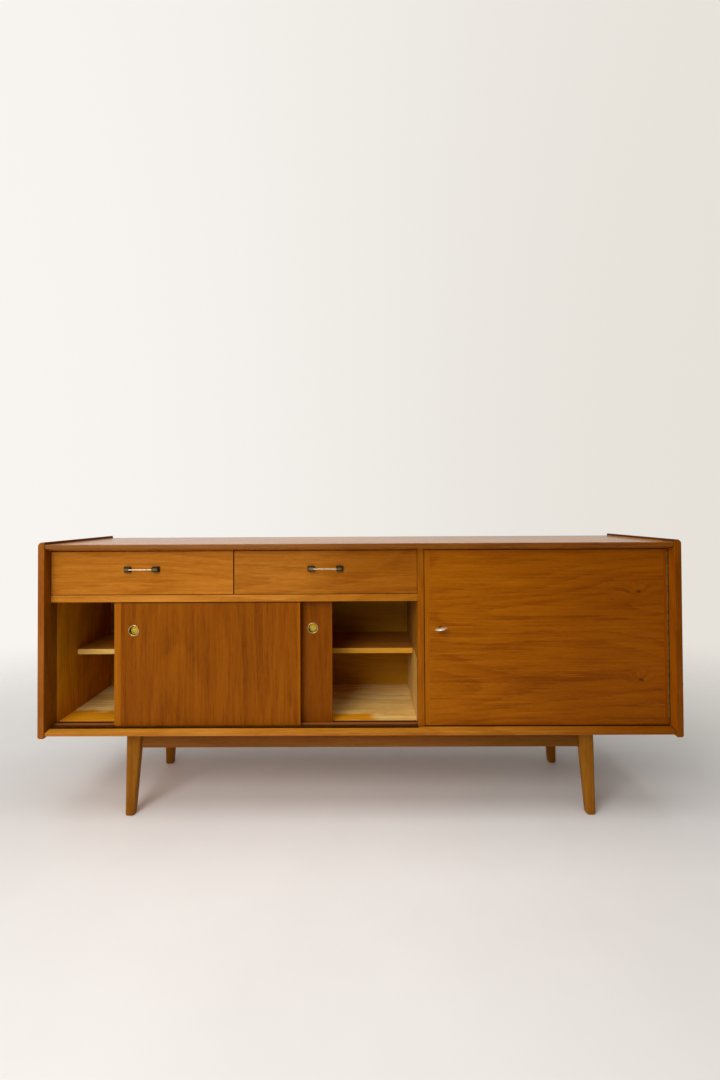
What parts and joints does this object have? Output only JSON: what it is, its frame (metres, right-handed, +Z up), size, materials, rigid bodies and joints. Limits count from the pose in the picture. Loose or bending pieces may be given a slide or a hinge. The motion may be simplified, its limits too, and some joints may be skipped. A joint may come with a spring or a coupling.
{
  "type": "sideboard buffet",
  "caption": "Mid-century sideboard on splayed tapered legs, with drawers over a bay closed by sliding doors, beside a cupboard with a locking hinged door.",
  "frame": {"origin": "on the floor under the middle of the case", "axes": "+X to the right along the front, +Y from the front to the back, +Z up"},
  "size_m": [2, 0.45, 0.87],
  "materials": {
    "case_wood": "satin varnished teak",
    "rail_wood": "satin varnished teak",
    "front_veneer": "satin varnished teak veneer, grain across",
    "door_veneer": "satin varnished teak veneer, grain upright",
    "edge_wood": "satin varnished teak lipping",
    "shelf_wood": "satin veneer",
    "drawer_wood": "satin oak",
    "drawer_ply": "satin plywood",
    "back_board": "matt veneered board",
    "track_wood": "satin hardwood",
    "leg_wood": "satin varnished teak",
    "black_lacquer": "satin black lacquered wood",
    "nickel": "satin nickel plate",
    "brass": "polished brass",
    "aged_brass": "dull aged brass",
    "steel": "satin steel"
  },
  "bodies": {
    "case": {"left_side_panel": "case_wood", "right_side_panel": "case_wood", "top_panel": "case_wood", "bottom_panel": "case_wood", "centre_divider": "case_wood", "drawer_deck": "rail_wood", "bay_partition": "shelf_wood", "drawer_partition": "shelf_wood", "left_back_panel": "back_board", "right_back_panel": "back_board", "bottom_track": "track_wood", "top_track": "track_wood", "left_bay_shelf": "shelf_wood", "right_bay_shelf": "shelf_wood", "cupboard_shelf": "shelf_wood", "shelf_pins": "brass", "drawer_runners": "track_wood", "strike_plate": "steel", "door_stop": "shelf_wood", "front_left_leg": "leg_wood", "front_right_leg": "leg_wood", "rear_left_leg": "leg_wood", "rear_right_leg": "leg_wood", "front_apron": "leg_wood", "rear_apron": "leg_wood", "left_side_apron": "leg_wood", "right_side_apron": "leg_wood", "hinge_case_leaf": "aged_brass", "hinge_pin": "aged_brass", "hinge_case_screws": "aged_brass"},
    "left_drawer": {"left_drawer_front": "front_veneer", "left_drawer_outer_side": "drawer_wood", "left_drawer_inner_side": "drawer_wood", "left_drawer_back": "drawer_wood", "left_drawer_bottom": "drawer_ply", "left_drawer_pull_blocks": "black_lacquer", "left_drawer_pull_bar": "nickel", "left_drawer_pull_screws": "steel"},
    "right_drawer": {"right_drawer_front": "front_veneer", "right_drawer_outer_side": "drawer_wood", "right_drawer_inner_side": "drawer_wood", "right_drawer_back": "drawer_wood", "right_drawer_bottom": "drawer_ply", "right_drawer_pull_blocks": "black_lacquer", "right_drawer_pull_bar": "nickel", "right_drawer_pull_screws": "steel"},
    "left_sliding_door": {"left_sliding_door": "door_veneer", "left_sliding_door_edges": "edge_wood", "left_finger_pull": "brass"},
    "right_sliding_door": {"right_sliding_door": "door_veneer", "right_sliding_door_edges": "edge_wood", "right_finger_pull": "brass"},
    "cupboard_door": {"cupboard_door": "front_veneer", "cupboard_door_edges": "edge_wood", "hinge_door_leaf": "aged_brass", "hinge_door_screws": "aged_brass", "lock_case": "steel"},
    "lock_bolt": {"lock_bolt": "steel"},
    "key": {"key": "nickel"}
  },
  "joints": [
    {"name": "left_drawer_slide", "type": "slide", "parent": "case", "child": "left_drawer", "axis": [0, -1, 0], "range_m": [0, 0.3]},
    {"name": "right_drawer_slide", "type": "slide", "parent": "case", "child": "right_drawer", "axis": [0, -1, 0], "range_m": [0, 0.3]},
    {"name": "left_door_slide", "type": "slide", "parent": "case", "child": "left_sliding_door", "axis": [1, 0, 0], "range_m": [-0.2, 0.371]},
    {"name": "right_door_slide", "type": "slide", "parent": "case", "child": "right_sliding_door", "axis": [1, 0, 0], "range_m": [-0.299, 0.272]},
    {"name": "cupboard_door_hinge", "type": "hinge", "parent": "case", "child": "cupboard_door", "pos_m": [0.977, -0.1885, 0.5615], "axis": [0, 0, 1], "range_deg": [0, 90]},
    {"name": "lock_bolt_slide", "type": "slide", "parent": "cupboard_door", "child": "lock_bolt", "axis": [-1, 0, 0], "range_m": [0, 0.01]},
    {"name": "key_turn", "type": "hinge", "parent": "cupboard_door", "child": "key", "pos_m": [0.2575, -0.171, 0.592], "axis": [0, -1, 0], "range_deg": [0, 90]}
  ],
  "couplings": [
    {"joint": "lock_bolt_slide", "follows": "key_turn", "m_per_rad": 0.00636}
  ]
}
